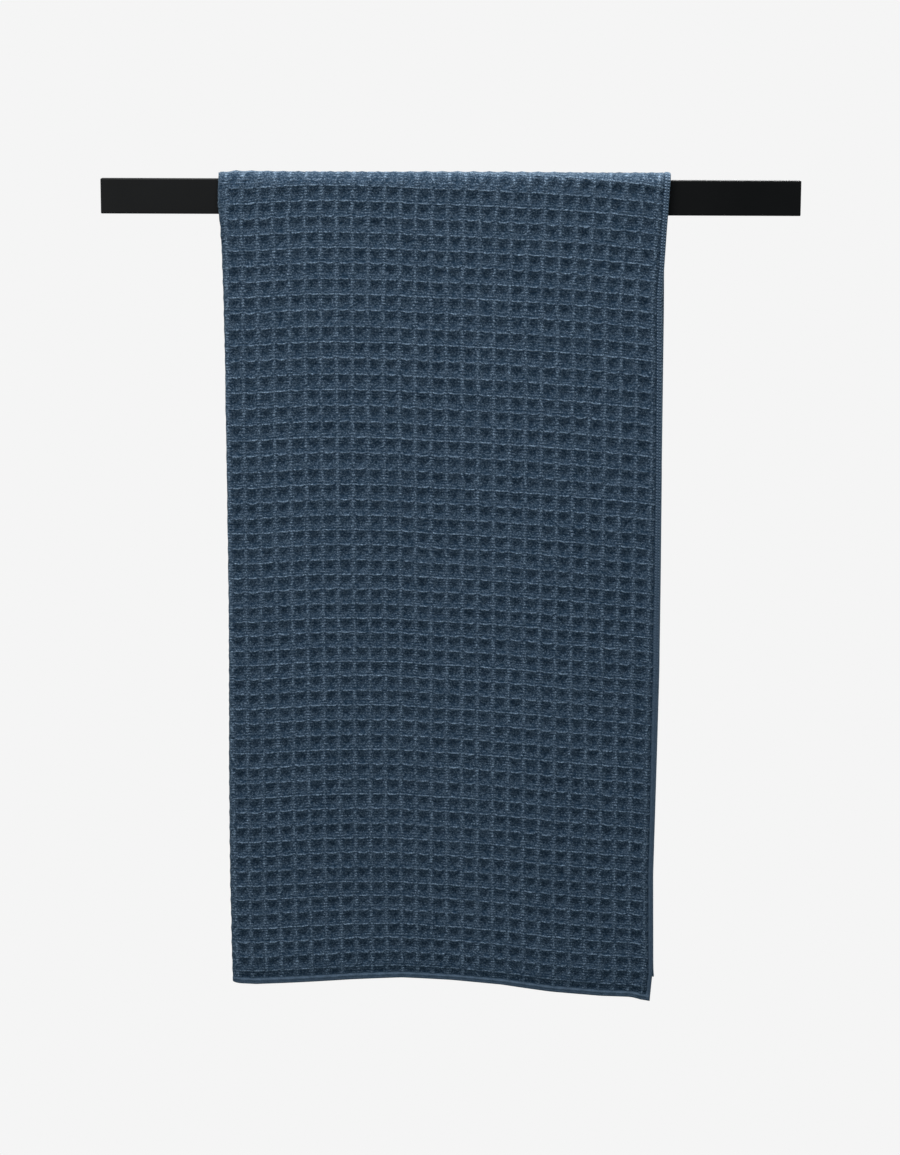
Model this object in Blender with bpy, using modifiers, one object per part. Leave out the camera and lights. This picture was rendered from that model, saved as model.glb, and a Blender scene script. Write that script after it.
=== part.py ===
# Waffle bath towel, folded in half lengthwise and hung over a flat bar that two posts hold off a wall.
# Metres, +Z up, the front of the towel towards -Y, the wall at Y = 0. The origin is the centre of the
# left post's wall face. The towel's own functions work from the middle of the bar: across (X), outward
# from the bar's surface, and height (Z), and the result is then moved to the bar's place.

import math

import bpy
import numpy as np

MM = 0.001

# Bar and posts
BAR_LENGTH = 600 * MM
BAR_HEIGHT = 30 * MM
BAR_THICKNESS = 10 * MM
BAR_EDGE = 0.8 * MM
POST_SIDE = 20 * MM
POST_LENGTH = 45 * MM
POST_INSET = 35 * MM
SEAT_GAP = 0.3 * MM

# Length of the towel as cut and hemmed, laid flat
TOWEL_LENGTH = 1422 * MM
SHEET_THICKNESS = 2.2 * MM

# How the two layers lie. Below the bar the fold is a soft roll, fuller than the layers beside it.
EDGE_CLEARANCE = 2.1 * MM
LAYER_GAP_AT_BAR = 0.3 * MM
LAYER_GAP_BELOW = 1.0 * MM
LAYERS_OPEN_OVER = 120 * MM
INNER_REACH = 1.0 * MM
FOLD_FULLNESS = 0.9 * MM
FOLD_REACH = 0.035
FOLD_FULL_BELOW = 40 * MM
OUTER_SAG_ON_TOP = 0.4 * MM

# Side edges of the hung towel, from the middle of the bar: height, left edge (fold), right edge of the
# outer layer. The inner layer's right edge reaches a little further below the bar.
FRONT_EDGES = (
    (21 * MM, -199.2 * MM, 188.0 * MM),
    (0 * MM, -199.4 * MM, 186.8 * MM),
    (-20 * MM, -197.4 * MM, 185.6 * MM),
    (-45 * MM, -195.3 * MM, 184.0 * MM),
    (-85 * MM, -194.2 * MM, 181.4 * MM),
    (-240 * MM, -192.6 * MM, 183.6 * MM),
    (-330 * MM, -192.5 * MM, 184.2 * MM),
    (-415 * MM, -192.6 * MM, 184.4 * MM),
    (-500 * MM, -193.4 * MM, 183.4 * MM),
    (-600 * MM, -193.6 * MM, 182.0 * MM),
    (-690 * MM, -192.6 * MM, 183.6 * MM),
    (-717 * MM, -192.2 * MM, 181.4 * MM),
)
BACK_EDGES = (
    (21 * MM, -198.4 * MM, 187.6 * MM),
    (0 * MM, -199.0 * MM, 186.6 * MM),
    (-60 * MM, -195.6 * MM, 184.0 * MM),
    (-260 * MM, -193.4 * MM, 184.8 * MM),
    (-480 * MM, -194.8 * MM, 182.2 * MM),
    (-700 * MM, -192.8 * MM, 184.2 * MM),
)

# Lower edge of the front: share of the width from fold to hems, height of the outer layer's hem, and how
# much higher the inner layer's hem hangs behind it
FRONT_HEM = (
    (0.00, -699.8 * MM, 0.0 * MM),
    (0.05, -701.0 * MM, 0.8 * MM),
    (0.16, -699.0 * MM, 1.6 * MM),
    (0.28, -696.8 * MM, 2.2 * MM),
    (0.40, -695.4 * MM, 2.8 * MM),
    (0.52, -697.4 * MM, 5.0 * MM),
    (0.64, -700.9 * MM, 8.0 * MM),
    (0.76, -707.3 * MM, 13.0 * MM),
    (0.88, -711.8 * MM, 17.0 * MM),
    (0.95, -713.0 * MM, 18.5 * MM),
    (1.00, -716.0 * MM, 21.0 * MM),
)

# Soft waves of the hanging cloth: share of the width, half width of the wave, depth at the front hem and
# at the back hem, outward from the bar
WAVES = (
    (0.14, 0.17, 3.2 * MM, 1.6 * MM),
    (0.42, 0.20, -1.2 * MM, 3.4 * MM),
    (0.70, 0.16, 2.6 * MM, -1.0 * MM),
    (0.97, 0.14, -1.4 * MM, 3.0 * MM),
)
WAVES_START = -25 * MM
WAVES_FULL = -560 * MM

# Steps of the towel's grid
STEPS_ACROSS_LAYER = 12
STEPS_ROUND_FOLD = 8
STEPS_DOWN_LEG = 14
STEPS_ROUND_CORNER = 5
STEPS_OVER_TOP = 8
LEG_SPACING_POWER = 1.6

BAR_MIDDLE = np.array([
    BAR_LENGTH / 2 - POST_INSET,
    -(POST_LENGTH + SEAT_GAP + BAR_THICKNESS / 2),
    0.0,
])
INNER_OFFSET = EDGE_CLEARANCE + SHEET_THICKNESS / 2
SPACING_AT_BAR = SHEET_THICKNESS + LAYER_GAP_AT_BAR
SPACING_BELOW = SHEET_THICKNESS + LAYER_GAP_BELOW
INNER_SAG_ON_TOP = EDGE_CLEARANCE - SEAT_GAP


def clear_objects():
    for item in list(bpy.data.objects):
        bpy.data.objects.remove(item, do_unlink=True)


def make_material(name, colour, roughness, metallic=0.0):
    material = bpy.data.materials.new(name)
    material.use_nodes = True
    shader = material.node_tree.nodes["Principled BSDF"]
    shader.inputs["Base Color"].default_value = (*colour, 1.0)
    shader.inputs["Roughness"].default_value = roughness
    shader.inputs["Metallic"].default_value = metallic
    return material


def settle(item, name, material, collection):
    """Name an object, give it its material and keep it only in the part's collection."""
    item.name = name
    item.data.name = name
    item.data.materials.clear()
    item.data.materials.append(material)
    for other in list(item.users_collection):
        other.objects.unlink(item)
    collection.objects.link(item)


def add_bevel(item, width):
    bevel = item.modifiers.new("Edges", "BEVEL")
    bevel.width = width
    bevel.segments = 2
    bevel.limit_method = "ANGLE"


def make_block(name, size, middle, edge, material, collection):
    """A block with softened edges, its middle at the given place."""
    bpy.ops.mesh.primitive_cube_add(size=1.0, location=middle)
    block = bpy.context.object
    block.scale = size
    bpy.ops.object.transform_apply(location=False, rotation=False, scale=True)
    settle(block, name, material, collection)
    add_bevel(block, edge)
    return block


def make_bar(material, collection):
    size = (BAR_LENGTH, BAR_THICKNESS, BAR_HEIGHT)
    return make_block("bar", size, BAR_MIDDLE, BAR_EDGE, material, collection)


def make_posts(material, collection):
    size = (POST_SIDE, POST_LENGTH, POST_SIDE)
    left = (0.0, -POST_LENGTH / 2, 0.0)
    right = (BAR_LENGTH - 2 * POST_INSET, -POST_LENGTH / 2, 0.0)
    make_block("post_left", size, left, BAR_EDGE, material, collection)
    make_block("post_right", size, right, BAR_EDGE, material, collection)


def smooth_step(value, start, full):
    """0 at start, 1 at full, level at both ends."""
    share = np.clip((value - start) / (full - start), 0.0, 1.0)
    return share * share * (3.0 - 2.0 * share)


def read_table(rows, column, where):
    """Straight-line reading of one column of a table whose first column falls or rises steadily."""
    table = np.array(rows)
    order = np.argsort(table[:, 0])
    return np.interp(where, table[order, 0], table[order, column])


def section_steps():
    """Steps across the folded cloth, from the outer layer's hem round the fold to the inner layer's hem.

    share is the place between fold (0) and hems (1), and turn the angle round the fold: 0 on the outer
    layer, half a turn on the inner one.
    """
    layer = np.linspace(0.0, 1.0, STEPS_ACROSS_LAYER + 1)
    round_fold = np.linspace(0.0, math.pi, STEPS_ROUND_FOLD + 1)[1:-1]
    share = np.concatenate([layer[::-1], np.zeros(len(round_fold)), layer])
    turn = np.concatenate([np.zeros(len(layer)), round_fold, np.full(len(layer), math.pi)])
    return share, turn


def drape_steps():
    """Steps along the cloth, from the front hem over the bar to the back hem.

    leg is how far down a leg the step lies (0 at the bar's top edge, 1 at the hem), corner the angle
    round the bar's top edge, over the place between the bar's two top edges, and side -1 in front and
    +1 behind.
    """
    leg = np.linspace(1.0, 0.0, STEPS_DOWN_LEG + 1) ** LEG_SPACING_POWER
    corner = np.linspace(0.0, math.pi / 2, STEPS_ROUND_CORNER + 1)[1:]
    over = np.linspace(-1.0, 1.0, STEPS_OVER_TOP + 1)[1:-1]
    front = [(value, 0.0, -1.0, -1.0) for value in leg] + [(0.0, value, -1.0, -1.0) for value in corner]
    top = [(0.0, math.pi / 2, value, 1.0 if value > 0 else -1.0) for value in over]
    back = [(value, turn, 1.0, 1.0) for value, turn, _, _ in reversed(front)]
    return np.array(front + top + back).T


def leg_lengths(share, turn):
    """Length of cloth below the bar's top edge, in front and behind, at each step across."""
    inner = (1.0 - np.cos(turn)) / 2
    hem = read_table(FRONT_HEM, 1, share) + inner * read_table(FRONT_HEM, 2, share)
    front = BAR_HEIGHT / 2 - hem
    outward = INNER_OFFSET + (1.0 - inner) * SPACING_AT_BAR
    over_bar = math.pi * outward + BAR_THICKNESS
    return front, TOWEL_LENGTH - over_bar - front


def wave_depth(share, height, side):
    """Outward depth of the cloth's soft waves, nothing at the bar and full near the hems."""
    depth = np.zeros(np.broadcast(share, height).shape)
    for place, half_width, front_depth, back_depth in WAVES:
        hump = np.exp(-(((share - place) / half_width) ** 2))
        depth = depth + hump * np.where(side < 0, front_depth, back_depth)
    return depth * smooth_step(-height, -WAVES_START, -WAVES_FULL)


def towel_points(share, turn, leg, corner, over, side):
    """The sheet's middle surface: the folded section carried down the front, over the bar and behind it."""
    front_leg, back_leg = leg_lengths(share, turn)
    height = BAR_HEIGHT / 2 - leg * np.where(side < 0, front_leg, back_leg)
    opening = smooth_step(-height, 0.0, LAYERS_OPEN_OVER)
    spacing = SPACING_AT_BAR + (SPACING_BELOW - SPACING_AT_BAR) * opening
    fullness = FOLD_FULLNESS * smooth_step(BAR_HEIGHT / 2 - height, 0.0, FOLD_FULL_BELOW)
    roll = spacing / 2 + fullness * np.exp(-((share / FOLD_REACH) ** 2))
    outward = INNER_OFFSET + roll * (1.0 + np.cos(turn))

    inner = (1.0 - np.cos(turn)) / 2
    sag_depth = OUTER_SAG_ON_TOP + (INNER_SAG_ON_TOP - OUTER_SAG_ON_TOP) * inner
    sag = np.where(np.abs(over) < 1.0, sag_depth * ((1.0 + np.cos(math.pi * over)) / 2) ** 2, 0.0)

    edge_height = height + outward * np.sin(corner)
    left = np.where(side < 0, read_table(FRONT_EDGES, 1, edge_height), read_table(BACK_EDGES, 1, edge_height))
    right = np.where(side < 0, read_table(FRONT_EDGES, 2, edge_height), read_table(BACK_EDGES, 2, edge_height))
    right = right + inner * opening * INNER_REACH
    across = left + roll * (1.0 - np.sin(turn)) + share * (right - left - roll)

    waves = wave_depth(share, height, side)
    depth = over * BAR_THICKNESS / 2 + side * (outward * np.cos(corner) + waves)
    return across, depth, edge_height - sag


def make_towel(material, collection):
    """A flat grid bent into the hung cloth, given its thickness by Solidify."""
    share, turn = section_steps()
    leg, corner, over, side = drape_steps()
    columns, rows = len(share), len(leg)
    bpy.ops.mesh.primitive_grid_add(x_subdivisions=columns - 1, y_subdivisions=rows - 1, size=1.0)
    towel = bpy.context.object
    settle(towel, "towel", material, collection)

    flat = np.empty(len(towel.data.vertices) * 3)
    towel.data.vertices.foreach_get("co", flat)
    flat = flat.reshape(-1, 3)
    column = np.rint((flat[:, 0] + 0.5) * (columns - 1)).astype(int)
    row = np.rint((flat[:, 1] + 0.5) * (rows - 1)).astype(int)

    across, depth, height = towel_points(
        share[column], turn[column], leg[row], corner[row], over[row], side[row])
    hung = np.stack([across, depth, height], axis=1) + BAR_MIDDLE
    towel.data.vertices.foreach_set("co", hung.ravel())
    towel.data.shade_smooth()

    sheet = towel.modifiers.new("Sheet", "SOLIDIFY")
    sheet.thickness = SHEET_THICKNESS
    sheet.offset = 0.0
    return towel


def main():
    clear_objects()
    part = bpy.data.collections.new("waffle_bath_towel")
    bpy.context.scene.collection.children.link(part)
    cloth = make_material("waffle_cloth", (0.055, 0.088, 0.132), 0.95)
    coating = make_material("black_coating", (0.010, 0.010, 0.010), 0.55)
    make_posts(coating, part)
    make_bar(coating, part)
    make_towel(cloth, part)


main()
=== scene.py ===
# Looks of the waffle bath towel on its bar: the cloth with its cells, hems and folds, the coated bar and
# posts, a pale studio and the camera. Lengths of the cloth are in millimetres until its mesh is made.

import math

import bpy
import numpy as np
from mathutils import Matrix


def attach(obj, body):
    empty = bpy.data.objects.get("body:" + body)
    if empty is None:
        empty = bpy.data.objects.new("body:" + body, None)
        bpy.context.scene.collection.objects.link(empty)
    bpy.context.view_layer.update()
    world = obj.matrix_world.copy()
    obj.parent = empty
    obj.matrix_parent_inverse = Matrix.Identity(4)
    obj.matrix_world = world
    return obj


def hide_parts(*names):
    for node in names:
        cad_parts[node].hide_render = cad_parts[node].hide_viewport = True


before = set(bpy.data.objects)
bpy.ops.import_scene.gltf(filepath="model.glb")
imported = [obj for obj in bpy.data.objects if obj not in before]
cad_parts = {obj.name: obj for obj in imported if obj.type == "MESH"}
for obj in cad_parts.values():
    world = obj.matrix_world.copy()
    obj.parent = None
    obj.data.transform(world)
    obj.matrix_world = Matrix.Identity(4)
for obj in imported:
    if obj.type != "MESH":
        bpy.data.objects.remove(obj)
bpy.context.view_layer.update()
print("frame loaded:", ", ".join(sorted(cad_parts)))

metre = 1000.0  # millimetres


# Shader maths

# One socket of a material. Arithmetic on wires adds the Math nodes for it.
class Wire:
    def __init__(self, tree, socket):
        self.tree = tree
        self.socket = socket

    # A new node: its settings first, then its inputs, each a wire or a fixed value; gives one output.
    def add(self, kind, settings, inputs, output=0):
        node = self.tree.nodes.new(kind)
        for name, value in settings.items():
            setattr(node, name, value)
        for name, value in inputs.items():
            if isinstance(value, Wire):
                self.tree.links.new(value.socket, node.inputs[name])
            else:
                node.inputs[name].default_value = value
        return Wire(self.tree, node.outputs[output])

    def math(self, operation, *others):
        inputs = {index: value for index, value in enumerate((self, *others))}
        return self.add("ShaderNodeMath", {"operation": operation}, inputs)

    def __add__(self, other):
        return self.math("ADD", other)

    def __sub__(self, other):
        return self.math("SUBTRACT", other)

    def __rsub__(self, other):
        return self.add("ShaderNodeMath", {"operation": "SUBTRACT"}, {0: other, 1: self})

    def __mul__(self, other):
        return self.math("MULTIPLY", other)

    def __truediv__(self, other):
        return self.math("DIVIDE", other)

    __radd__ = __add__

    # 1 at or below full, 0 at or above none, smooth between.
    def near(self, full, none):
        settings = {"interpolation_type": "SMOOTHSTEP"}
        inputs = {"Value": self, "From Min": full, "From Max": none, "To Min": 1.0, "To Max": 0.0}
        return self.add("ShaderNodeMapRange", settings, inputs)

    # The colour low where the wire is 0, high where it is 1.
    def blend(self, low, high):
        return self.add("ShaderNodeMix", {"data_type": "RGBA"}, {"Factor": self, 6: low, 7: high}, 2)


# A material with one Principled shader, its constants set; gives it and a wire to start from.
def newMaterial(name, constants):
    material = bpy.data.materials.new(name)
    material.use_nodes = True
    tree = material.node_tree
    shader = tree.nodes["Principled BSDF"]
    for socket, value in constants.items():
        shader.inputs[socket].default_value = value
    return material, shader, Wire(tree, None)


# Leads each varying value to the shader's socket of that name.
def connect(start, shader, varying):
    for socket, wire in varying.items():
        start.tree.links.new(wire.socket, shader.inputs[socket])


# Camera and studio

camera = {
    "place": (0.2655, -2.5732, 0.134),
    "tilt": 79.533,  # degrees from straight down
    "roll": 0.2115,
    "lens": 91.0,
    "sensor": 36.0,
    "farEnd": 60.0,
}

studio = {
    "paleGrey": 0.913,  # what the camera sees of the floor and bowl
    "floorHeight": -1.25,
    "floorRings": (0.02, 1.0, 3.0),  # radii, the first one closed by a cap
    "floorRadius": 5.0,
    "wallHeight": 6.0,
    "bendRadius": 3.0,
    "bendSteps": 17,
    "roundSteps": 96,
    "ambient": 0.112,
    "ambientColour": (0.70, 1.0, 1.13, 1.0),
    "softboxPlace": (0.2, -1.6, 3.6),
    "softboxAim": (0.265, -0.05, -0.3),
    "softboxSize": (2.2, 1.5),
    "softboxPower": 139.0,
    "topPlace": (0.265, -0.1, 3.2),
    "topAim": (0.265, -0.1, 0.0),
    "topSize": (2.0, 0.8),
    "topPower": 92.0,
    "fillPlace": (-0.9, -1.3, 0.2),
    "fillAim": (0.265, -0.05, -0.35),
    "fillSize": (0.8, 0.8),
    "fillPower": 6.0,
    "backPlace": (1.5, 2.6, 1.4),
    "backAim": (0.265, 0.0, -0.3),
    "backSize": (2.0, 1.4),
    "backPower": 80.0,
}


# The camera's matrix: first its roll, then its tilt up from straight down, then its place.
def makeCamera():
    data = bpy.data.cameras.new("camera")
    data.lens = camera["lens"]
    data.sensor_width = camera["sensor"]
    data.clip_end = camera["farEnd"]
    eye = bpy.data.objects.new("camera", data)
    bpy.context.scene.collection.objects.link(eye)
    turn = Matrix.Rotation(math.radians(camera["tilt"]), 4, "X")
    roll = Matrix.Rotation(math.radians(camera["roll"]), 4, "Z")
    eye.matrix_world = Matrix.Translation(camera["place"]) @ turn @ roll
    bpy.context.scene.camera = eye


# A rectangle that shines at its aim: pitch is the angle from straight down, turn the heading round Z.
def makeLight(name, place, aim, size, power):
    data = bpy.data.lights.new(name, "AREA")
    data.shape = "RECTANGLE"
    data.size, data.size_y = size
    data.energy = power
    light = bpy.data.objects.new(name, data)
    bpy.context.scene.collection.objects.link(light)
    direction = np.array(aim) - np.array(place)
    pitch = math.acos(-direction[2] / np.linalg.norm(direction))
    turn = math.atan2(-direction[0], direction[1])
    light.matrix_world = (
        Matrix.Translation(place) @ Matrix.Rotation(turn, 4, "Z") @ Matrix.Rotation(pitch, 4, "X"))


# A floor that bends up into a round wall: a profile of floor, quarter circle and wall turned round Z.
def makeStage():
    bend = np.linspace(0.0, math.pi / 2, studio["bendSteps"])
    rings, radius, rise = studio["floorRings"], studio["floorRadius"], studio["bendRadius"]
    outward = np.concatenate([rings, radius + rise * np.sin(bend), [radius + rise]])
    height = np.concatenate([np.zeros(len(rings)), rise * (1.0 - np.cos(bend)), [studio["wallHeight"]]])
    around = np.linspace(0.0, 2 * math.pi, studio["roundSteps"] + 1)[:-1]
    x = outward[:, None] * np.cos(around)
    y = outward[:, None] * np.sin(around)
    z = np.broadcast_to(height[:, None] + studio["floorHeight"], x.shape)
    points = np.stack([x, y, z], axis=2).reshape(-1, 3)
    rows, columns = x.shape
    here = (np.arange(rows - 1)[:, None] * columns + np.arange(columns)).ravel()
    beside = (np.arange(rows - 1)[:, None] * columns + (np.arange(columns) + 1) % columns).ravel()
    faces = np.stack([here, here + columns, beside + columns, beside], axis=1)
    mesh = bpy.data.meshes.new("paleFloor")
    mesh.from_pydata(points.tolist(), [], faces.tolist() + [list(range(columns))])
    mesh.shade_smooth()
    floor = bpy.data.objects.new("paleFloor", mesh)
    bpy.context.scene.collection.objects.link(floor)
    grey = studio["paleGrey"]
    material, shader, start = newMaterial("palePaper", {
        "Base Color": (0.0, 0.0, 0.0, 1.0),
        "Roughness": 1.0,
        "Specular IOR Level": 0.0,
        "Emission Color": (grey, grey, grey, 1.0),
        "Emission Strength": 1.0,
    })
    mesh.materials.append(material)
    floor.visible_diffuse = False
    floor.visible_glossy = False
    floor.visible_shadow = False


# A dim even world, four rectangular lights and the stage, with colours shown as they are.
def makeStudio():
    world = bpy.data.worlds.new("studio")
    world.use_nodes = True
    background = world.node_tree.nodes["Background"]
    background.inputs["Color"].default_value = studio["ambientColour"]
    background.inputs["Strength"].default_value = studio["ambient"]
    scene = bpy.context.scene
    scene.world = world
    scene.view_settings.view_transform = "Standard"
    scene.view_settings.look = "None"
    for name in ("softbox", "top", "fill", "back"):
        makeLight(name, *(studio[name + part] for part in ("Place", "Aim", "Size", "Power")))
    makeStage()


makeCamera()
makeStudio()
print("camera and studio ready")


# The towel. across is the distance along the cloth from the ridge that lies on the fold, positive on the
# outer layer; along runs from the front hem over the bar to the back hem.

towel = {
    "flat": (0.762, 1.422),  # metres
    "halfWidth": 377.7,
    "length": 1422.0,
    "topPlace": 737.0,  # where the cloth lies highest, about
    "halfTop": 14.0,  # length of cloth from there to a leg
    "seed": 11,

    # Cells
    "cellWidth": 13.6,
    "cellHeight": 13.326,
    "firstCrest": 11.4,
    "crests": 106,
    "ridges": 28,
    "ridgeHalf": 1.5,
    "crestHalf": 0.7,
    "saddle": 0.07,  # shares of a cell's depth: how far ridges sag between crests, crests between ridges
    "dip": 0.10,
    "crestSag": 0.7,
    "pitSpread": 0.11,
    "wander": 0.35,
    "wanderFull": 25.0,  # this far from a hem's edge

    # Heights of the relief from the middle of the sheet
    "crestTop": 2.4,
    "crestTopOnBar": 0.5,
    "knobHeight": 0.8,  # crests stand out between the ridges where the cloth turns over the bar
    "knobNear": (4.0, 0.5),  # distances from the crest where a knob starts and is full
    "innerCrestTop": 1.1,
    "innerFlatterOnBar": 0.5,
    "innerFrom": -14.0,  # across; from here to 0 the inner layer's relief turns into the outer one's
    "reliefAtHem": 1.0,  # the ridges run out flat on the band of the hem
    "reliefFull": 14.0,
    "foldPlace": -5.0,  # across, where the cloth is bent most at the fold
    "foldHalf": 7.0,
    "foldLower": 0.8,  # how much lower the relief is there, and by which share its pits are shallower
    "foldShallower": 0.7,
    "pitFloor": -0.7,
    "deepestPit": -0.98,
    "backFace": -1.15,
    "thinnerOnBar": 0.22,
    "onBarHeights": (12.0, 20.5),  # the cloth lies beside the bar up to the first, over it from the second

    # The bar, and how the layers lie on it and open below it
    "barMiddle": (265.0, -50.3, 0.0),
    "barHeight": 30.0,
    "barThickness": 10.0,
    "innerOffset": 3.2,
    "spacingAtBar": 2.5,
    "spacingBelow": 3.2,
    "opensFrom": 15.0,
    "opensOver": 120.0,
    "innerReach": 1.0,
    "foldFullness": 0.9,
    "foldReach": 0.035,
    "foldFullBelow": 40.0,
    "outerSag": 0.4,
    "innerSag": 1.8,

    # Small shapes of the front hem's two corners, and how far they spread
    "foldCornerLift": 1.0,
    "foldCornerSpread": (4.5, 14.0),
    "tailDrop": 0.8,
    "tailShares": (0.962, 0.978),
    "tailSpread": 9.0,
    "nubReach": 0.9,
    "nubSpread": 4.0,

    # height, left edge, right edge
    "frontEdges": (
        (21, -199.2, 188), (0, -199.4, 186.8), (-20, -197.4, 185.6), (-45, -195.3, 184), (-85, -194.2, 181.4),
        (-240, -192.6, 183.6), (-330, -192.5, 184.2), (-415, -192.6, 184.4), (-500, -193.4, 183.4),
        (-600, -193.6, 182), (-690, -192.6, 183.6), (-717, -192.2, 181.4)),
    "backEdges": (
        (21, -198.4, 187.6), (0, -199, 186.6), (-60, -195.6, 184), (-260, -193.4, 184.8),
        (-480, -194.8, 182.2), (-700, -192.8, 184.2)),
    # share of the width from fold to hems, outer layer's front hem, how much higher the inner one hangs
    "frontHem": (
        (0, -699.8, 0), (.05, -701, .8), (.16, -699, 1.6), (.28, -696.8, 2.2), (.40, -695.4, 2.8),
        (.52, -697.4, 5), (.64, -700.9, 8), (.76, -707.3, 13), (.88, -711.8, 17), (.95, -713, 18.5),
        (1, -716, 21)),
    # share of the width, half width, depth at the front hem and at the back hem
    "waves": ((.14, .17, 3.2, 1.6), (.42, .20, -1.2, 3.4), (.70, .16, 2.6, -1.0), (.97, .14, -1.4, 3.0)),
    "wavesStart": 25.0,
    "wavesFull": 560.0,
    # distance down the cloth from its middle on the bar, how far the ridge lies inside the fold's edge
    "foldShift": (
        (0, 8.4), (15, 8.3), (35, 6.1), (60, 4.9), (100, 4.1), (185, 2.9), (250, 2.7), (315, 2.95),
        (380, 3.3), (490, 4.05), (545, 4.6), (601, 5.1), (700, 5.6)),
    # the same distance, cloth beyond the last ridge
    "hemReach": ((0, 10), (60, 8.1), (150, 7.8), (250, 9), (380, 10), (470, 9.3), (560, 7.6), (700, 7.4)),
    # the same distance, how far the ridges bow towards the fold in the middle of the width
    "ridgeBow": ((0, 1.2), (180, .9), (400, .5), (700, .4)),
    # distance from a hem along the cloth, lift of the rows there, and shares of their two bows
    "rowLift": (
        (0, 0, 0, 0), (11.4, 1.1, .1, .5), (53, .4, .25, 1), (91, -.35, .45, 1), (171, .4, .5, 1),
        (222, 1.2, .55, 1), (264, 1.3, .6, 1), (344, -.9, .7, 1), (386, -1.9, .72, 1), (438, -2.4, .75, .9),
        (492, -.5, .8, .8), (545, 1.6, .85, .5), (611, 3.8, .9, .2), (691, 3.8, 1, 0), (712, 3.8, 1, 0)),
    # share of the width, bow of the rows at the bar, bow lower down
    "rowBow": (
        (0, -1, .3), (.04, .2, .5), (.118, .9, .8), (.194, 1, 1.1), (.269, -.3, 1), (.344, -2, .8),
        (.419, -3.5, .2), (.494, -3.3, -.4), (.569, -2.3, -.4), (.645, -1.4, -.4), (.72, 1.6, -.4),
        (.796, 3.4, -.6), (.872, 4, -.8), (.948, 2.6, -.9), (1, 2, -.9)),
    # distance from a hem's edge, height of the band there
    "hemBand": ((0, 0), (.35, .6), (1.1, 1.0), (4.2, 1.05), (4.8, .8), (5.4, .2)),
    "hemWidth": 5.4,

    # Lines of the mesh: on the hem band, then the first one inside it at the ends and at the sides
    "hemSteps": (0.0, 0.35, 1.1, 4.2, 5.4),
    "firstInsideEnd": 8.0,
    "firstInsideSide": 7.2,
    "fineFrom": -6.8,  # past this on the inner layer the cells are plainer
    "fineOverBar": (731.0, 31.0),  # middle and half length of the stretch that is fine there too
}

# The plain grid of the sheet's back face. The legs' lines start at the hems and end before the stretch over
# the bar.
backGrid = {
    "inset": 1.0,
    "frontLeg": 690.0,
    "backLeg": 640.0,
    "legStep": 26.5,
    "overBar": (692.0, 768.0),
    "overBarStep": 2.5,
    "layer": 352.0,
    "layerStep": 27.0,
    "atFold": (-13.6, -6.8, -3.4, 0.0, 3.4, 6.8, 13.6),
}


# A column of the table at the places where, with straight lines between its rows.
def readTable(rows, column, where):
    table = np.array(rows, dtype=float)
    order = np.argsort(table[:, 0])
    return np.interp(where, table[order, 0], table[order, column])


# 0 at start, 1 at full, between them 3 s^2 - 2 s^3 of the share s of the way.
def smoothStep(value, start, full):
    share = np.clip((value - start) / (full - start), 0.0, 1.0)
    return share * share * (3.0 - 2.0 * share)


# A soft uneven wave between -1 and 1: the mean of three sines, each with its own direction and phase.
def ripple(first, second, phase):
    directions = ((0.21, 0.13, 1.0), (-0.07, 0.31, 2.1), (0.53, 0.47, 3.7))
    return sum(np.sin(first * a + second * b + phase * shift) for a, b, shift in directions) / 3.0


# Distance to the nearest of the lines that lie a pitch apart.
def fromLine(place, pitch):
    return np.abs((place / pitch + 0.5) % 1.0 - 0.5) * pitch


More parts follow.
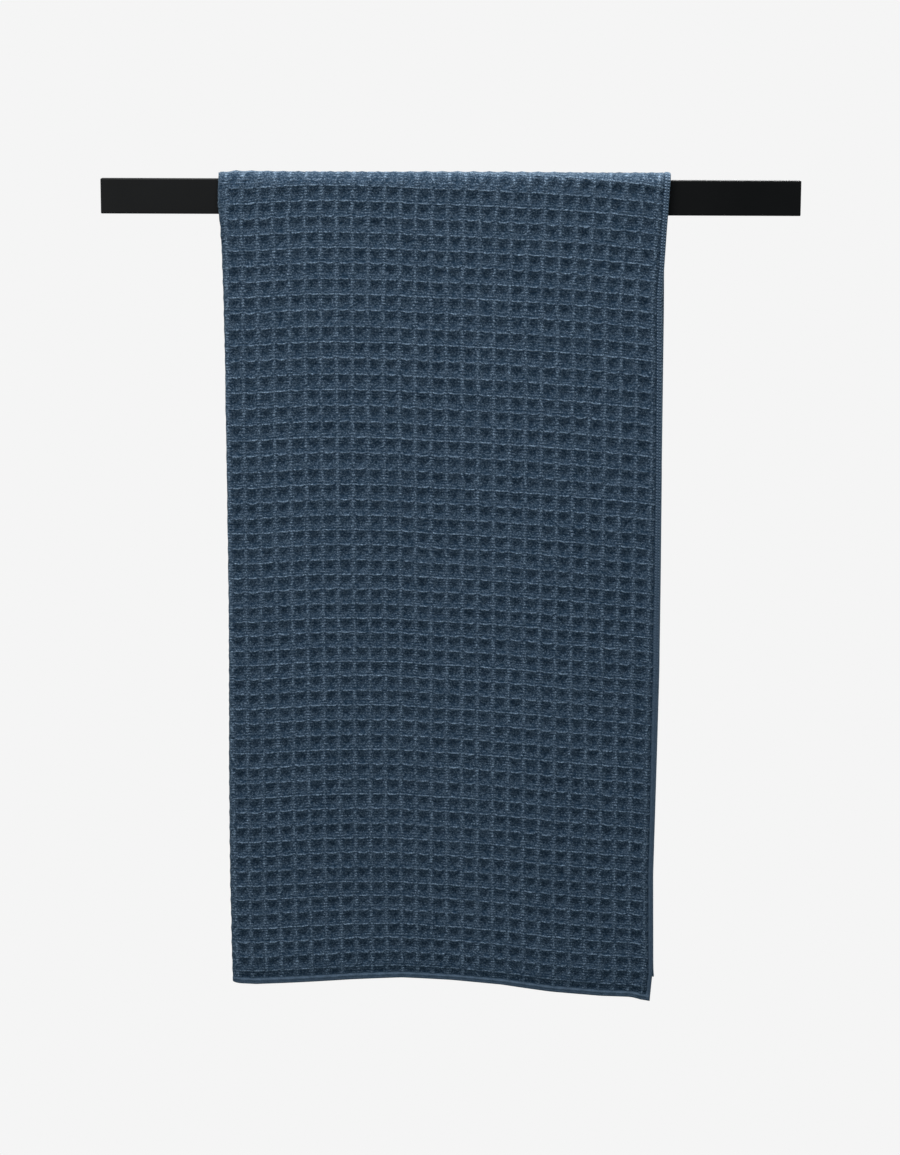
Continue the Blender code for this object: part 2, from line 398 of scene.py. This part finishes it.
# The hung sheet's middle surface: the folded section, a half circle between two layers, carried up the
# front, round the bar's top edges on quarter circles and down behind it.
def middlePoints(across, along):
    t = towel
    bar = t["barThickness"]
    fromEnd = np.minimum(along, t["length"] - along)
    fromBar = t["length"] / 2 - fromEnd
    inFront = along < t["length"] / 2

    # Place along the folded section: ridges evenly spread, the hem's reach beyond the last one, then a shift
    shift = readTable(t["foldShift"], 1, fromBar)
    reach = readTable(t["hemReach"], 1, fromBar)
    lastRidge = t["cellWidth"] * (t["ridges"] - 1)
    distance = np.abs(across)
    place = np.sign(across) * np.where(
        distance < lastRidge,
        distance * (t["halfWidth"] - reach) / lastRidge,
        t["halfWidth"] - reach + (distance - lastRidge) * reach / (t["halfWidth"] - lastRidge)) + shift
    bow = readTable(t["ridgeBow"], 1, fromBar)
    place = place - bow * np.sin(math.pi * np.clip(across / t["halfWidth"], 0.0, 1.0)) ** 2

    # Round the fold on a half circle, which is fuller near the fold's edge and away from the bar's top
    opening = smoothStep(fromBar - t["opensFrom"], 0.0, t["opensOver"])
    spacing = t["spacingAtBar"] + (t["spacingBelow"] - t["spacingAtBar"]) * opening
    topOfFold = t["barHeight"] / 2 - t["frontHem"][0][1] + t["halfTop"]
    belowTop = np.abs(along - topOfFold) - t["halfTop"]
    fullness = t["foldFullness"] * smoothStep(belowTop, 0.0, t["foldFullBelow"])
    quarter = (spacing / 2 + fullness) * math.pi / 2
    turn = math.pi / 2 * (1.0 - np.clip(place / quarter, -1.0, 1.0))
    layerWidth = t["halfWidth"] + np.sign(place) * shift - quarter
    share = np.clip((np.abs(place) - quarter) / layerWidth, 0.0, None)
    inner = (1.0 - np.cos(turn)) / 2
    roll = spacing / 2 + fullness * np.exp(-((share / t["foldReach"]) ** 2))

    # Up the front leg, over the bar on two quarter circles with a flat between them, down the back leg. past
    # is the length of cloth beyond the front leg's upper end.
    hem = readTable(t["frontHem"], 1, share) + inner * readTable(t["frontHem"], 2, share)
    frontLeg = t["barHeight"] / 2 - hem
    radius = t["innerOffset"] + (1.0 - inner) * t["spacingAtBar"]
    lift = readTable(t["rowLift"], 1, fromEnd)
    for column, rows in ((2, 1), (3, 2)):
        lift = lift + readTable(t["rowLift"], column, fromEnd) * readTable(t["rowBow"], rows, share)
    cornerAcross, cornerAlong = t["foldCornerSpread"]
    corner = t["foldCornerLift"] * np.exp(-((place / cornerAcross) ** 2)) * np.exp(-fromEnd / cornerAlong)
    tail = smoothStep(share, *t["tailShares"]) * (1.0 - inner) * inFront
    corner = corner - t["tailDrop"] * tail * np.exp(-((fromEnd / t["tailSpread"]) ** 2))
    past = along + lift + corner * np.where(inFront, 1.0, -1.0) - frontLeg
    arc = radius * math.pi / 2
    angle = np.clip(np.minimum(past, 2 * arc + bar - past) / radius, 0.0, math.pi / 2)
    over = np.clip((past - arc) * 2 / bar - 1.0, -1.0, 1.0)
    side = np.where(over < 0, -1.0, 1.0)
    height = t["barHeight"] / 2 + np.minimum(past, 0.0) - np.maximum(past - 2 * arc - bar, 0.0)

    # Distance from the bar, the sag onto its top, the edges to left and right, and the waves of the legs
    outward = t["innerOffset"] + roll * (1.0 + np.cos(turn))
    sagDepth = t["outerSag"] + (t["innerSag"] - t["outerSag"]) * inner
    sag = np.where(np.abs(over) < 1.0, sagDepth * ((1.0 + np.cos(math.pi * over)) / 2) ** 2, 0.0)
    edgeHeight = height + outward * np.sin(angle)
    left, right = (
        np.where(
            side < 0,
            readTable(t["frontEdges"], column, edgeHeight),
            readTable(t["backEdges"], column, edgeHeight))
        for column in (1, 2))
    right = right + inner * opening * t["innerReach"]
    right = right + t["nubReach"] * inner * inFront * np.exp(-((fromEnd / t["nubSpread"]) ** 2))

    waves = np.zeros_like(share)
    for middle, halfWidth, frontDepth, backDepth in t["waves"]:
        depth = np.where(side < 0, frontDepth, backDepth)
        waves = waves + np.exp(-(((share - middle) / halfWidth) ** 2)) * depth
    waves = waves * smoothStep(-height, t["wavesStart"], t["wavesFull"])

    x = left + roll * (1.0 - np.sin(turn)) + share * (right - left - roll)
    y = over * bar / 2 + side * (outward * np.cos(angle) + waves)
    return np.stack([x, y, edgeHeight - sag], axis=-1) + np.array(t["barMiddle"])


# How deep the cloth lies in a cell, 0 on ridges and crests to 1 in the pit: an upside-down pyramid, the
# lesser of the two straight walls. The tops of ridges and crests sag a little between their crossings.
def cellDepth(across, along):
    t = towel
    fromRidge = fromLine(across, t["cellWidth"])
    fromCrest = fromLine(along - t["firstCrest"], t["cellHeight"])
    wallAcross = np.clip((fromRidge - t["ridgeHalf"]) / (t["cellWidth"] / 2 - t["ridgeHalf"]), 0.0, 1.0)
    wallAlong = np.clip((fromCrest - t["crestHalf"]) / (t["cellHeight"] / 2 - t["crestHalf"]), 0.0, 1.0)
    saddle = t["saddle"] * (fromCrest * 2 / t["cellHeight"]) ** 2 * (1.0 - wallAcross)
    dip = t["dip"] * np.sin(math.pi * fromRidge / t["cellWidth"]) * (1.0 - wallAlong)
    return np.minimum(wallAcross, wallAlong) + saddle + dip


# 1 where the cloth lies over the bar, 0 below it.
def overBar(across, along):
    return smoothStep(middlePoints(across, along)[..., 2], *towel["onBarHeights"])


# Height of the cloth's face over its middle surface: the cells inside, each from its own top down to its pit
# by its depth, knobs on the crests over the bar, and the flat band of the hems.
def faceHeight(across, along):
    t = towel
    rows, columns = t["crests"] + 2, 2 * t["ridges"] + 2
    chance = np.random.default_rng(t["seed"])
    depths = 1.0 + t["pitSpread"] * np.clip(chance.normal(size=(rows, columns)), -2, 2)
    row = np.floor((along - t["firstCrest"]) / t["cellHeight"]).astype(int) + 1
    column = np.floor(across / t["cellWidth"]).astype(int) + t["ridges"]
    depth = cellDepth(across, along) * depths[np.clip(row, 0, rows - 1), np.clip(column, 0, columns - 1)]

    fromEnd = np.minimum(along, t["length"] - along)
    outer = smoothStep(across, t["innerFrom"], 0.0)
    onBar = overBar(across, along)
    top = t["crestTop"] + (t["crestTopOnBar"] - t["crestTop"]) * onBar
    innerTop = t["innerCrestTop"] * (1.0 - t["innerFlatterOnBar"] * onBar)
    top = innerTop + (top - innerTop) * outer
    atFold = np.exp(-(((across - t["foldPlace"]) / t["foldHalf"]) ** 4))
    top = top - t["foldLower"] * atFold
    top = top - (top - t["reliefAtHem"]) * smoothStep(fromEnd, t["reliefFull"], t["hemWidth"])
    cells = top - (top - t["pitFloor"]) * depth * (1.0 - t["foldShallower"] * atFold)
    cells = np.maximum(cells, t["deepestPit"] * (1.0 - t["thinnerOnBar"] * onBar))

    nearCrest = smoothStep(fromLine(along - t["firstCrest"], t["cellHeight"]), *t["knobNear"])
    knob = np.sin(math.pi * across / t["cellWidth"]) ** 4 * nearCrest
    cells = cells + t["knobHeight"] * knob * onBar * outer
    fromEdge = np.minimum(t["halfWidth"] - np.abs(across), fromEnd)
    return np.where(fromEdge < t["hemWidth"], readTable(t["hemBand"], 1, fromEdge), cells)


# The sheet's point at the given height over its middle surface, along the surface's normal, which is the
# cross product of its two slopes. The cells wander a little, and each crest sags in its middle.
def hungPoints(across, along, height):
    t = towel
    fromEdge = np.minimum(t["halfWidth"] - np.abs(across), np.minimum(along, t["length"] - along))
    inside = smoothStep(fromEdge, t["hemWidth"], t["wanderFull"])
    down = np.where(along < t["length"] / 2, -1.0, 1.0)
    sag = t["crestSag"] * np.sin(math.pi * across / t["cellWidth"]) ** 2 * inside
    u = across + t["wander"] * ripple(across, along, 0.4) * inside
    v = along + t["wander"] * ripple(along, across, 1.9) * inside + down * sag
    step = 0.25  # to each side, for the slopes
    slopeAcross = middlePoints(u + step, v) - middlePoints(u - step, v)
    slopeAlong = middlePoints(u, v + step) - middlePoints(u, v - step)
    normal = np.cross(slopeAcross, slopeAlong)
    normal /= np.linalg.norm(normal, axis=-1, keepdims=True)
    return middlePoints(u, v) + normal * height[..., None]


# Quads of a grid of vertices numbered row by row from first.
def gridFaces(first, rows, columns, flipped=False):
    here = (first + np.arange(rows - 1)[:, None] * columns + np.arange(columns - 1)).ravel()
    quads = np.stack([here, here + 1, here + columns + 1, here + columns], axis=1)
    return quads[:, ::-1] if flipped else quads


# Triangles between a fine line of vertices and a coarse one beside it: each fine edge goes to the nearest
# coarse vertex, and each coarse edge to the fine vertex where the nearest one changes.
def zipEdges(fine, fineAt, coarse, coarseAt):
    fineMiddles = (fineAt[:-1] + fineAt[1:]) / 2
    coarseMiddles = (coarseAt[:-1] + coarseAt[1:]) / 2
    nearest = np.searchsorted(coarseMiddles, fineMiddles)
    change = np.searchsorted(fineMiddles, coarseMiddles, side="right")
    toFine = np.stack([fine[:-1], coarse[nearest], fine[1:]], axis=1)
    toCoarse = np.stack([coarse[:-1], coarse[1:], fine[change]], axis=1)
    return np.concatenate([toFine, toCoarse])


# Places of the grid lines along and across the cloth, fine for the face and coarse for the rest.
def clothSteps():
    t = towel
    crest = t["firstCrest"] + t["cellHeight"] * np.arange(t["crests"])
    wall = (t["cellHeight"] / 2 + t["crestHalf"]) / 2
    inCell = np.array([-t["crestHalf"], t["crestHalf"], wall, t["cellHeight"] / 2, t["cellHeight"] - wall])
    end = np.array([*t["hemSteps"], t["firstInsideEnd"]])
    middle = (crest[:, None] + inCell).ravel()[:-3]
    alongFine = np.concatenate([end, middle, t["length"] - end[::-1]])
    coarseInCell = np.array([t["crestHalf"], t["cellHeight"] / 2])
    middle = (crest[:, None] + coarseInCell).ravel()[:-1]
    middleOfBar, halfBar = t["fineOverBar"]
    atBar = alongFine[np.abs(alongFine - middleOfBar) < halfBar]
    alongCoarse = np.concatenate([end[[0, 2, 3, 4]], middle, t["length"] - end[[4, 3, 2, 0]]])
    alongCoarse = np.unique(np.round(np.concatenate([alongCoarse, atBar]), 6))

    ridge = t["cellWidth"] * np.arange(t["ridges"])
    wall = (t["cellWidth"] / 2 + t["ridgeHalf"]) / 2
    inCell = np.array([-t["ridgeHalf"], t["ridgeHalf"], wall, t["cellWidth"] / 2, t["cellWidth"] - wall])
    hem = t["halfWidth"] - np.array([*t["hemSteps"], t["firstInsideSide"]])[::-1]
    acrossFine = np.concatenate([[t["fineFrom"], -wall], (ridge[:, None] + inCell).ravel()[:-3], hem])
    ridgesAndPits = (ridge[1:, None] + np.array([0.0, t["cellWidth"] / 2])).ravel()[:-1]
    acrossCoarse = -np.concatenate([ridgesAndPits, hem[[1, 2, 3, 5]]])[::-1]
    return alongFine, alongCoarse, acrossFine, acrossCoarse


# The same for the back face.
def backSteps():
    t, b = towel, backGrid
    frontLeg = np.arange(b["inset"], b["frontLeg"], b["legStep"])
    backLeg = t["length"] - np.arange(b["inset"], b["backLeg"], b["legStep"])[::-1]
    along = np.concatenate([frontLeg, np.arange(*b["overBar"], b["overBarStep"]), backLeg])
    layer = t["halfWidth"] - b["inset"] - np.arange(0.0, b["layer"], b["layerStep"])[::-1]
    return along, np.concatenate([-layer[::-1], b["atFold"], layer])


# The closed sheet: a fine and a coarse patch for its face, one for its back, zipped together along the line
# between the first two and round the rim. Gives also each vertex's place on the cloth and each face's patch.
def makeTowelMesh():
    t = towel
    alongFine, alongCoarse, acrossFine, acrossCoarse = clothSteps()
    backAlong, backAcross = backSteps()
    patches = ((acrossFine, alongFine), (acrossCoarse, alongCoarse), (backAcross, backAlong))
    points, cloth, sizes = [], [], []
    for index, (acrossSteps, alongSteps) in enumerate(patches):
        across, along = np.meshgrid(acrossSteps, alongSteps)
        if index == 2:
            height = t["backFace"] * (1.0 - t["thinnerOnBar"] * overBar(across, along))
        else:
            height = faceHeight(across, along)
        points.append(hungPoints(across, along, height).reshape(-1, 3))
        cloth.append(np.stack([across.ravel(), along.ravel()], axis=1))
        sizes.append(across.shape)
    first = np.cumsum([0] + [rows * columns for rows, columns in sizes])
    (fineRows, fineColumns), (coarseRows, coarseColumns), (backRows, backColumns) = sizes
    fine = first[0] + np.arange(fineRows * fineColumns).reshape(fineRows, fineColumns)
    coarse = first[1] + np.arange(coarseRows * coarseColumns).reshape(coarseRows, coarseColumns)
    back = first[2] + np.arange(backRows * backColumns).reshape(backRows, backColumns)

    # The rim of the face and the rim of the back face, both round the sheet from the inner front corner
    place = np.concatenate(cloth)
    faceRim = np.concatenate([
        coarse[0], fine[0], fine[1:, -1], fine[-1, -2::-1], coarse[-1, ::-1], coarse[-2::-1, 0]])
    backRim = np.concatenate([back[0], back[1:, -1], back[-1, -2::-1], back[-2::-1, 0]])

    # Distance round the sheet of the nearest point on its edge, for a rim that lies edge inside it.
    def rimPlace(rim, edge):
        wide, long = 2 * t["halfWidth"], t["length"]
        x, y = (place[rim] - [-t["halfWidth"], 0.0]).T
        x = np.clip((x - edge) * wide / (wide - 2 * edge), 0.0, wide)
        y = np.clip((y - edge) * long / (long - 2 * edge), 0.0, long)
        steps = np.hypot(np.diff(x), np.diff(y))
        return np.concatenate([[0.0], np.cumsum(steps)])

    triangles = np.concatenate([
        zipEdges(fine[:, 0], alongFine, coarse[:, -1], alongCoarse)[:, ::-1],
        zipEdges(faceRim, rimPlace(faceRim, 0.0), backRim, rimPlace(backRim, backGrid["inset"])),
    ])
    quadGrids = [
        gridFaces(first[0], fineRows, fineColumns),
        gridFaces(first[1], coarseRows, coarseColumns),
        gridFaces(first[2], backRows, backColumns, flipped=True),
    ]
    quads = np.concatenate(quadGrids)
    mesh = bpy.data.meshes.new("towelCloth")
    mesh.from_pydata((np.concatenate(points) / metre).tolist(), [], quads.tolist() + triangles.tolist())
    mesh.shade_smooth()

    # The triangles between the patches count with the coarse one, those of the rim with the back
    zipped = len(alongFine) + len(alongCoarse) - 2
    counts = [len(grid) for grid in quadGrids] + [zipped, len(triangles) - zipped]
    return mesh, place, np.repeat([0, 1, 2, 1, 2], counts)


# Shares of the square bake map
bakeMap = {
    "margin": 0.01,
    "faceWidth": 0.48,
    "behindFrom": 0.5,
    "faceHeight": 0.88,
    "faceBottom": 0.11,
    "stripWidth": 0.98,
    "stripHeight": 0.02,
    "innerStrip": 0.08,
    "backStrip": 0.03,
}


# Two maps: Cloth holds the place on the cloth in metres, for the weave. OFBake lays the outer face's
# front and back halves side by side, with the hidden faces in strips below them.
def addClothMaps(mesh, place, patch):
    t, b = towel, bakeMap
    corners = np.zeros(len(mesh.loops), dtype=int)
    mesh.loops.foreach_get("vertex_index", corners)
    sides = np.zeros(len(mesh.polygons), dtype=int)
    mesh.polygons.foreach_get("loop_total", sides)
    face = np.repeat(np.arange(len(sides)), sides)
    cloth = mesh.uv_layers.new(name="Cloth")
    cloth.data.foreach_set("uv", (place[corners] / metre).ravel())

    firstLoop = np.concatenate([[0], np.cumsum(sides)[:-1]])
    middle = np.add.reduceat(place[corners], firstLoop, axis=0) / sides[:, None]
    across, along = place[corners].T
    wide, long = t["halfWidth"], t["length"]
    isBehind = middle[face, 1] > long / 2
    faceU = (across - t["fineFrom"]) / (wide - t["fineFrom"]) * b["faceWidth"] + b["margin"]
    faceU = faceU + b["behindFrom"] * isBehind
    faceV = (along - long / 2 * isBehind) / (long / 2) * b["faceHeight"] + b["faceBottom"]
    stripU = along / long * b["stripWidth"] + b["margin"]
    stripV = across / wide * b["stripHeight"] + np.where(patch[face] == 1, b["innerStrip"], b["backStrip"])
    onFace = patch[face] == 0
    spread = mesh.uv_layers.new(name="OFBake")
    uv = np.stack([np.where(onFace, faceU, stripU), np.where(onFace, faceV, stripV)], axis=1)
    spread.data.foreach_set("uv", uv.ravel())


# A dark blue cotton. The cells, crests, ridges and hems are found again from the Cloth map, and yarn, floats
# and stitches are added to them, with painted light and painted shade on parts of the cells.
cotton = {
    "deep": (0.0, 0.020, 0.050, 1.0),
    "light": (0.336, 0.458, 0.612, 1.0),
    "middle": 0.19,  # share of light in the plain yarn
    "roughness": 0.92,
    "specular": 0.18,
    "sheen": 0.3,
    "sheenRoughness": 0.45,
    "sheenTint": (0.60, 0.82, 1.0, 1.0),

    # Yarn
    "yarnScale": (0.64, 0.80, 1.0),  # knots for each millimetre
    "bendScale": 0.45,
    "bend": (2.2, 2.2, 0.0),  # millimetres that the yarn strays
    "knotMiddle": 0.47,
    "knots": 1.8,
    "fleckScale": 2.0,
    "flecks": 1.9,

    # Floats and stitches
    "floatPitch": 2.5,
    "floatStray": (7.0, 3.0),  # radians by which flecks and knots shift them
    "floatsInPit": 0.35,
    "ladderPitch": 2.5,
    "ladderMiddle": 2.9,
    "ladderHalf": 1.4,
    "hemLinePitch": 3.0,
    "sideLines": 0.5,

    # Distances in millimetres: a pattern is full up to the first and has ended at the second
    "hemEdge": (-0.4, 0.4),
    "ridgeNear": (0.5, 1.7),
    "ridgeFlank": (1.6, 3.6),
    "crestNear": (0.35, 1.05),
    "foldNear": (3.0, 8.0),
    "floatNear": (1.5, 5.0),
    "stitchNear": (0.3, 1.0),
    "ladderNear": (150.0, 560.0),  # from the top of the cloth
    # the strip over the bar that gets painted light from above: its distances, then its shift
    "topNear": (11.0, 17.0),
    "grooveNear": (0.2, 1.0),
    # where the shelf, which gets painted shade, starts and is full
    "aboveShelf": (9.0, 12.0),  # below the crest above, as the next
    # how far below the crest above the ridge gets painted light
    "paintedLightOnRidgeBelow": (5.0, 11.5),

    "topShift": 6.0,  # the paler strip over the bar lies this far in front of the top
    "grooveFromHem": 0.7,
    "crestOnRidge": 0.15,  # share of a crest's strength there
    "lessCrestAtFold": 0.8,

    # Millimetres of relief
    "relief": {
        "yarn": 0.36, "lessYarnOnHem": 0.22, "crest": 0.7, "floats": 0.13, "stitches": 0.3, "hemLines": 0.12,
    },
    # Powers of e by which each makes the yarn lighter or darker. The tones of the crest, of the ridge below
    # it and of the top are painted light from above; those of the shelf, the pit and the groove are painted
    # shade.
    "tones": {
        "yarn": 1.65, "lessYarnOnHem": 1.4, "crest": 0.85, "paintedLightOnRidge": 0.68, "floats": 0.5, "paintedShadeOnShelf": 0.36,
        "paintedShadeInPit": 0.33, "lessPitShadeOnTop": 0.25, "paintedShadeInGroove": 0.5, "stitches": 1.3, "hemLines": 0.22, "sideHem": 0.25,
        "endHem": 0.42, "top": 0.25,
    },
}


# The colour is a blend from deep to light by middle times e to the sum of the tones' effects.
def makeCotton():
    t, c = towel, cotton
    relief, tones = c["relief"], c["tones"]
    material, shader, start = newMaterial("waffleCotton", {
        "Roughness": c["roughness"],
        "Specular IOR Level": c["specular"],
        "Sheen Weight": c["sheen"],
        "Sheen Roughness": c["sheenRoughness"],
        "Sheen Tint": c["sheenTint"],
    })
    place = start.add("ShaderNodeUVMap", {"uv_map": "Cloth"}, {})
    across = start.add("ShaderNodeSeparateXYZ", {}, {0: place}, 0) * metre
    along = start.add("ShaderNodeSeparateXYZ", {}, {0: place}, 1) * metre
    flat = start.add("ShaderNodeCombineXYZ", {}, {0: across, 1: along})

    # Distances in millimetres: from the ridge, down from the crest above, from the crest, from the hems
    fromRidge = across.math("PINGPONG", t["cellWidth"] / 2)
    upward = (t["topPlace"] - along).math("SIGN")
    below = ((t["firstCrest"] - along) * upward).math("FLOORED_MODULO", t["cellHeight"])
    fromCrest = below.math("MINIMUM", t["cellHeight"] - below)
    fromSide = t["halfWidth"] - across.math("ABSOLUTE")
    fromEnd = along.math("MINIMUM", t["length"] - along)

    hemFull, hemNone = (t["hemWidth"] + edge for edge in c["hemEdge"])
    endHem = fromEnd.near(hemFull, hemNone)
    sideHem = fromSide.near(hemFull, hemNone)
    hem = endHem.math("MAXIMUM", sideHem)
    inside = 1.0 - hem
    # painted shade in the groove just inside the hem band, where the band meets the cells
    paintedShadeInGroove = (fromSide.math("MINIMUM", fromEnd) - t["hemWidth"] - c["grooveFromHem"]).math("ABSOLUTE")
    paintedShadeInGroove = paintedShadeInGroove.near(*c["grooveNear"])
    # painted light from above: a paler strip on the roll over the bar, where the pits also get less painted
    # shade
    paintedLightOnTop = (along - t["topPlace"] + c["topShift"]).math("ABSOLUTE").near(*c["topNear"])

    # The parts of a cell. A crest fades where it meets a ridge, and the shelf is the wall that rises to the
    # crest below;
    # it gets painted shade.
    atFold = (across - t["foldPlace"]).math("ABSOLUTE").near(*c["foldNear"])
    ridge = fromRidge.near(*c["ridgeNear"]) * inside
    between = (1.0 - fromRidge.near(*c["ridgeFlank"])) * inside
    crest = fromCrest.near(*c["crestNear"]) * (c["crestOnRidge"] + between * (1.0 - c["crestOnRidge"]))
    crest = crest * inside * (1.0 - atFold * c["lessCrestAtFold"])
    wallAcross = ((fromRidge - t["ridgeHalf"]) / (t["cellWidth"] / 2 - t["ridgeHalf"])).math("MAXIMUM", 0.0)
    wallAlong = ((fromCrest - t["crestHalf"]) / (t["cellHeight"] / 2 - t["crestHalf"])).math("MAXIMUM", 0.0)
    # painted shade: the cell darker towards its pit
    paintedShadeInPit = wallAcross.math("MINIMUM", wallAlong) * inside
    paintedShadeOnShelf = (1.0 - below.near(*c["aboveShelf"])) * between * (1.0 - crest)
    # painted light: the ridge lighter just below the crest above it, lifting the shade the crest casts there
    paintedLightOnRidge = ridge * below.near(*c["paintedLightOnRidgeBelow"])

    # Yarn: rounded knots and finer flecks, both wider than high
    bend = start.add("ShaderNodeTexNoise", {}, {"Vector": flat, "Scale": c["bendScale"], "Detail": 1.0}, 1)
    bent = start.add("ShaderNodeVectorMath", {"operation": "MULTIPLY_ADD"}, {0: bend, 1: c["bend"], 2: flat})
    yarnPlace = start.add("ShaderNodeVectorMath", {"operation": "MULTIPLY"}, {0: bent, 1: c["yarnScale"]})
    knots = start.add("ShaderNodeTexVoronoi", {"feature": "F1"}, {"Vector": yarnPlace, "Scale": 1.0}, 0)
    flecks = start.add("ShaderNodeTexNoise", {}, {
        "Vector": yarnPlace, "Scale": c["fleckScale"], "Detail": 2.0, "Roughness": 0.7}, 0)
    yarn = (c["knotMiddle"] - knots) * c["knots"] + (flecks - 0.5) * c["flecks"]

    # Short floats across the ridges, stitches like a ladder along the side hems, and lines along the hems
    byFlecks, byKnots = c["floatStray"]
    turns = along * (2 * math.pi / c["floatPitch"]) + flecks * byFlecks + knots * byKnots
    inCell = c["floatsInPit"] + fromRidge.near(*c["floatNear"]) * (1.0 - c["floatsInPit"])
    floats = turns.math("SINE") * inside * inCell
    fromLadder = ((fromSide - c["ladderMiddle"]).math("ABSOLUTE") - c["ladderHalf"]).math("ABSOLUTE")
    ladder = fromLadder.near(*c["stitchNear"]) * sideHem
    ladder = ladder * (along - t["topPlace"]).math("ABSOLUTE").near(*c["ladderNear"])
    stitches = (along * (2 * math.pi / c["ladderPitch"])).math("SINE") * ladder
    endLine = (fromEnd * (2 * math.pi / c["hemLinePitch"])).math("SINE") * endHem * (1.0 - sideHem)
    sideLine = (fromSide * (2 * math.pi / c["hemLinePitch"])).math("SINE") * sideHem * (1.0 - endHem)
    hemLines = endLine + sideLine * c["sideLines"]

    height = (
        yarn * (relief["yarn"] - hem * relief["lessYarnOnHem"])
        + crest * relief["crest"]
        + floats * relief["floats"]
        + stitches * relief["stitches"]
        + hemLines * relief["hemLines"]
    )
    bump = start.add("ShaderNodeBump", {}, {"Strength": 1.0, "Distance": 1.0 / metre, "Height": height})

    effects = (
        yarn * (tones["yarn"] - hem * tones["lessYarnOnHem"])
        # painted highlight: the crest's thread lighter, as if its top catches the light from above
        + crest * tones["crest"]
        + paintedLightOnRidge * tones["paintedLightOnRidge"]
        + floats * tones["floats"]
        # painted shade on the shelf, as if the yarns shaded it
        - paintedShadeOnShelf * tones["paintedShadeOnShelf"]
        # painted shade in the pits, less of it on the top roll
        - paintedShadeInPit * (tones["paintedShadeInPit"] - paintedLightOnTop * tones["lessPitShadeOnTop"])
        - paintedShadeInGroove * tones["paintedShadeInGroove"]
        # painted shade in the groove beside the hems
        + stitches * tones["stitches"]
        + hemLines * tones["hemLines"]
        + sideHem * tones["sideHem"]
        + endHem * tones["endHem"]
        # painted light from above on the top roll
        + paintedLightOnTop * tones["top"]
    )
    tone = effects.math("EXPONENT") * c["middle"]
    colour = tone.math("MINIMUM", 1.0).blend(c["deep"], c["light"])
    connect(start, shader, {"Base Color": colour, "Normal": bump})
    return material


def makeTowel():
    mesh, place, patch = makeTowelMesh()
    addClothMaps(mesh, place, patch)
    mesh.materials.append(makeCotton())
    cloth = bpy.data.objects.new("towelCloth", mesh)
    bpy.context.scene.collection.objects.link(cloth)
    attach(cloth, "root")
    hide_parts("towel")
    print("towel:", len(mesh.vertices), "vertices,", len(mesh.polygons), "faces")


makeTowel()


# The bar and its posts keep their CAD shapes and get a matte black powder coat

coating = {
    "dark": (0.0014, 0.0012, 0.0014, 1.0),
    "pale": (0.0092, 0.0088, 0.0088, 1.0),
    "specular": 0.28,
    "grain": 1400.0,  # bumps for each metre
    "cloud": 18.0,
    "bumpStrength": 0.5,
    "bumpDepth": 0.0001,
    # painted light from the left: the bar is paler from the first place and dark from the second
    "paintedLightFrom": 0.0,  # metres to the right of the left post, the paler end and the darker one
    "paintedLightEnd": 0.55,
    "paintedLightShare": 0.8,
    "mottle": 0.5,
    "roughness": 0.46,
    "cloudRoughness": 0.12,
    "grainRoughness": 0.08,
}


# The colour is a blend from dark to pale by painted light, paler towards the bar's left end, and by the
# mottle of cloud and grain.
def makeCoating():
    c = coating
    material, shader, start = newMaterial("blackPowderCoat", {"Specular IOR Level": c["specular"]})
    place = start.add("ShaderNodeTexCoord", {}, {}, 3)
    grain = start.add("ShaderNodeTexNoise", {}, {"Vector": place, "Scale": c["grain"], "Detail": 2.0}, 0)
    cloud = start.add("ShaderNodeTexNoise", {}, {"Vector": place, "Scale": c["cloud"], "Detail": 3.0}, 0)
    bump = start.add("ShaderNodeBump", {}, {
        "Strength": c["bumpStrength"], "Distance": c["bumpDepth"], "Height": grain})
    toTheRight = start.add("ShaderNodeSeparateXYZ", {}, {0: place}, 0)
    # painted light: the bar paler towards its left end, where the light comes from
    paintedLightAlongBar = toTheRight.near(c["paintedLightFrom"], c["paintedLightEnd"]) * c["paintedLightShare"]
    paleness = paintedLightAlongBar + (cloud + grain - 1.0) * c["mottle"]
    connect(start, shader, {
        "Base Color": paleness.math("MAXIMUM", 0.0).blend(c["dark"], c["pale"]),
        "Roughness": c["roughness"] + cloud * c["cloudRoughness"] + grain * c["grainRoughness"],
        "Normal": bump,
    })
    return material


blackPowderCoat = makeCoating()
for name in ("bar", "post_left", "post_right"):
    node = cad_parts[name]
    node.data.materials.clear()
    node.data.materials.append(blackPowderCoat)
print("bar and posts coated")
